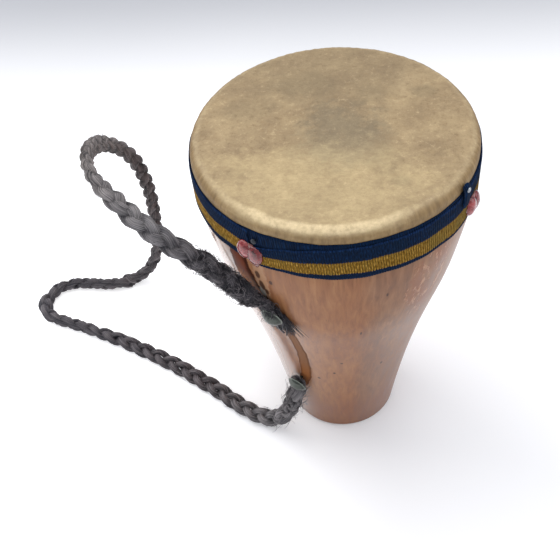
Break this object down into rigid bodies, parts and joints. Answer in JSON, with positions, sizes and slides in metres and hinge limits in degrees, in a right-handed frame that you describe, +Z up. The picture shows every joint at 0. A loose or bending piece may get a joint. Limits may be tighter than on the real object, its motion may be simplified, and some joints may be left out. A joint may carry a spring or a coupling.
{
  "type": "hand drum",
  "caption": "Small goblet-shaped wooden hand drum with a hide head, striped ribbon and glass beads round the rim, and a plaited hair carrying strap.",
  "frame": {"origin": "centre of the foot's underside, on the drum's axis", "axes": "+Z up the drum's axis towards the head; the strap hangs on the -X side and the nails that hold it face -X and -Y"},
  "size_m": [0.2677, 0.1598, 0.199],
  "materials": {
    "shell_wood": "clear varnish over straight-grained turned wood",
    "hide": "raw scraped hide, dull, lightly smudged",
    "navy_ribbon": "plain woven ribbon",
    "striped_ribbon": "woven ribbon, navy with a ribbed gold stripe",
    "bead_glass": "pressed red glass",
    "bead_glue": "hardened clear glue, stained pink",
    "pin_steel": "small steel pin, dulled",
    "nail_brass": "tarnished grey-green, worn bright at the edge",
    "hair": "coarse plaited hair, dark grey, brownish in places"
  },
  "bodies": {
    "root": {"shell": "shell_wood", "drumhead": "hide", "binding_ribbon": "navy_ribbon", "trim_ribbon": "striped_ribbon", "trim_lap": "navy_ribbon", "strap_braid": "hair", "strap_tack_upper": "nail_brass", "strap_tack_lower": "nail_brass", "bead_1a": "bead_glass", "bead_1b": "bead_glass", "glue_pad_1": "bead_glue", "ribbon_pin_1": "pin_steel", "bead_2a": "bead_glass", "bead_2b": "bead_glass", "glue_pad_2": "bead_glue", "ribbon_pin_2": "pin_steel", "bead_3a": "bead_glass", "bead_3b": "bead_glass", "glue_pad_3": "bead_glue", "ribbon_pin_3": "pin_steel", "bead_4a": "bead_glass", "bead_4b": "bead_glass", "glue_pad_4": "bead_glue", "ribbon_pin_4": "pin_steel"}
  },
  "joints": []
}
